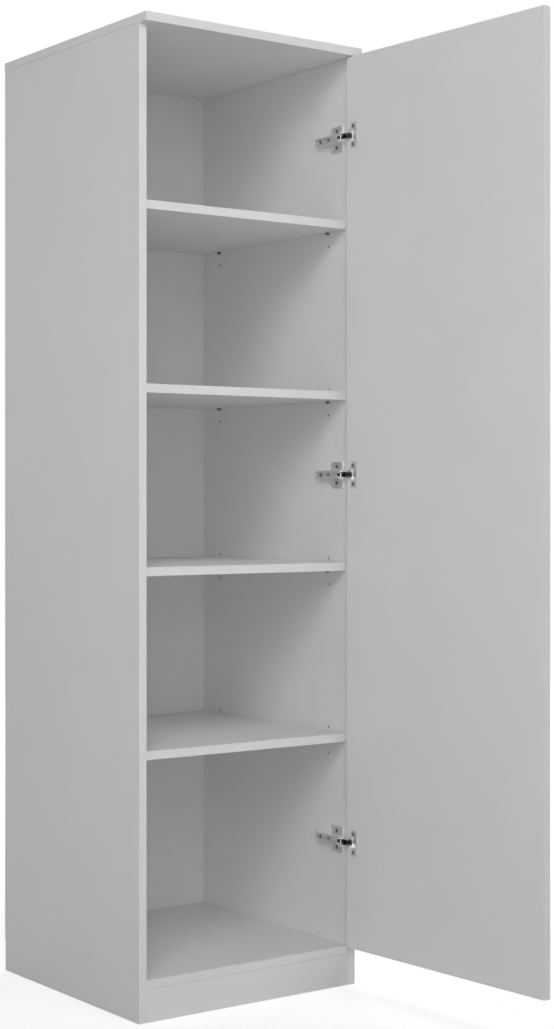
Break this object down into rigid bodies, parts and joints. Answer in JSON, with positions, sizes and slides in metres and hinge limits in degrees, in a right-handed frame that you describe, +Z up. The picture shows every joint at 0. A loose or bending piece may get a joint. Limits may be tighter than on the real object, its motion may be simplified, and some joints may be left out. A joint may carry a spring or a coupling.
{
  "type": "storage cabinet",
  "caption": "Tall white storage cabinet with a side-hung door on concealed cup hinges, loose shelves on pins and a plinth.",
  "frame": {"origin": "on the floor under the middle of the plinth board, 8 mm behind the cabinet's front edges", "axes": "+X to the right seen from the front, +Y to the back, +Z up"},
  "size_m": [0.5147, 0.9839, 1.8],
  "materials": {
    "white_melamine": "white melamine-coated chipboard, satin",
    "white_hardboard": "white lacquered hardboard, matt",
    "nickel_steel": "bright nickel-plated steel",
    "zinc_steel": "dark zinc-plated steel screws and shelf pins, dull",
    "black_steel": "black coated steel"
  },
  "bodies": {
    "carcass": {"side_left": "white_melamine", "side_right": "white_melamine", "top_panel": "white_melamine", "bottom_panel": "white_melamine", "plinth": "white_melamine", "shelf_1": "white_melamine", "shelf_2": "white_melamine", "shelf_3": "white_melamine", "shelf_4": "white_melamine", "back_panel": "white_hardboard", "shelf_1_pin_left_front": "zinc_steel", "shelf_1_pin_left_rear": "zinc_steel", "shelf_1_pin_right_front": "zinc_steel", "shelf_1_pin_right_rear": "zinc_steel", "shelf_2_pin_left_front": "zinc_steel", "shelf_2_pin_left_rear": "zinc_steel", "shelf_2_pin_right_front": "zinc_steel", "shelf_2_pin_right_rear": "zinc_steel", "shelf_3_pin_left_front": "zinc_steel", "shelf_3_pin_left_rear": "zinc_steel", "shelf_3_pin_right_front": "zinc_steel", "shelf_3_pin_right_rear": "zinc_steel", "shelf_4_pin_left_front": "zinc_steel", "shelf_4_pin_left_rear": "zinc_steel", "shelf_4_pin_right_front": "zinc_steel", "shelf_4_pin_right_rear": "zinc_steel", "top_hinge_mounting_plate": "nickel_steel", "top_hinge_arm": "nickel_steel", "top_hinge_plate_screw_lower": "zinc_steel", "top_hinge_plate_screw_upper": "zinc_steel", "top_hinge_fixing_screw": "zinc_steel", "top_hinge_adjusting_screw": "zinc_steel", "middle_hinge_mounting_plate": "nickel_steel", "middle_hinge_arm": "nickel_steel", "middle_hinge_plate_screw_lower": "zinc_steel", "middle_hinge_plate_screw_upper": "zinc_steel", "middle_hinge_fixing_screw": "zinc_steel", "middle_hinge_adjusting_screw": "zinc_steel", "bottom_hinge_mounting_plate": "nickel_steel", "bottom_hinge_arm": "nickel_steel", "bottom_hinge_plate_screw_lower": "zinc_steel", "bottom_hinge_plate_screw_upper": "zinc_steel", "bottom_hinge_fixing_screw": "zinc_steel", "bottom_hinge_adjusting_screw": "zinc_steel"},
    "door": {"door_panel": "white_melamine", "top_hinge_cup": "nickel_steel", "top_hinge_cup_screw_lower": "zinc_steel", "top_hinge_cup_screw_upper": "zinc_steel", "middle_hinge_cup": "nickel_steel", "middle_hinge_cup_screw_lower": "zinc_steel", "middle_hinge_cup_screw_upper": "zinc_steel", "bottom_hinge_cup": "nickel_steel", "bottom_hinge_cup_screw_lower": "zinc_steel", "bottom_hinge_cup_screw_upper": "zinc_steel"},
    "outer_links": {"top_hinge_outer_link": "black_steel", "middle_hinge_outer_link": "black_steel", "bottom_hinge_outer_link": "black_steel"},
    "inner_links": {"top_hinge_inner_link": "black_steel", "middle_hinge_inner_link": "black_steel", "bottom_hinge_inner_link": "black_steel"}
  },
  "joints": [
    {"name": "door_swing", "type": "hinge", "parent": "carcass", "child": "door", "pos_m": [0.2375, -0.0256, 0.9], "axis": [0, 0, 1], "range_deg": [-93, 2]},
    {"name": "outer_link_swing", "type": "hinge", "parent": "carcass", "child": "outer_links", "pos_m": [0.215, -0.0077, 0.9], "axis": [0, 0, 1], "range_deg": [-2, 49]},
    {"name": "inner_link_swing", "type": "hinge", "parent": "carcass", "child": "inner_links", "pos_m": [0.2194, 0.004, 0.9], "axis": [0, 0, 1], "range_deg": [-2, 28]}
  ],
  "couplings": [
    {"joint": "outer_link_swing", "follows": "door_swing", "ratio": -0.52107},
    {"joint": "inner_link_swing", "follows": "door_swing", "ratio": -0.2873}
  ]
}
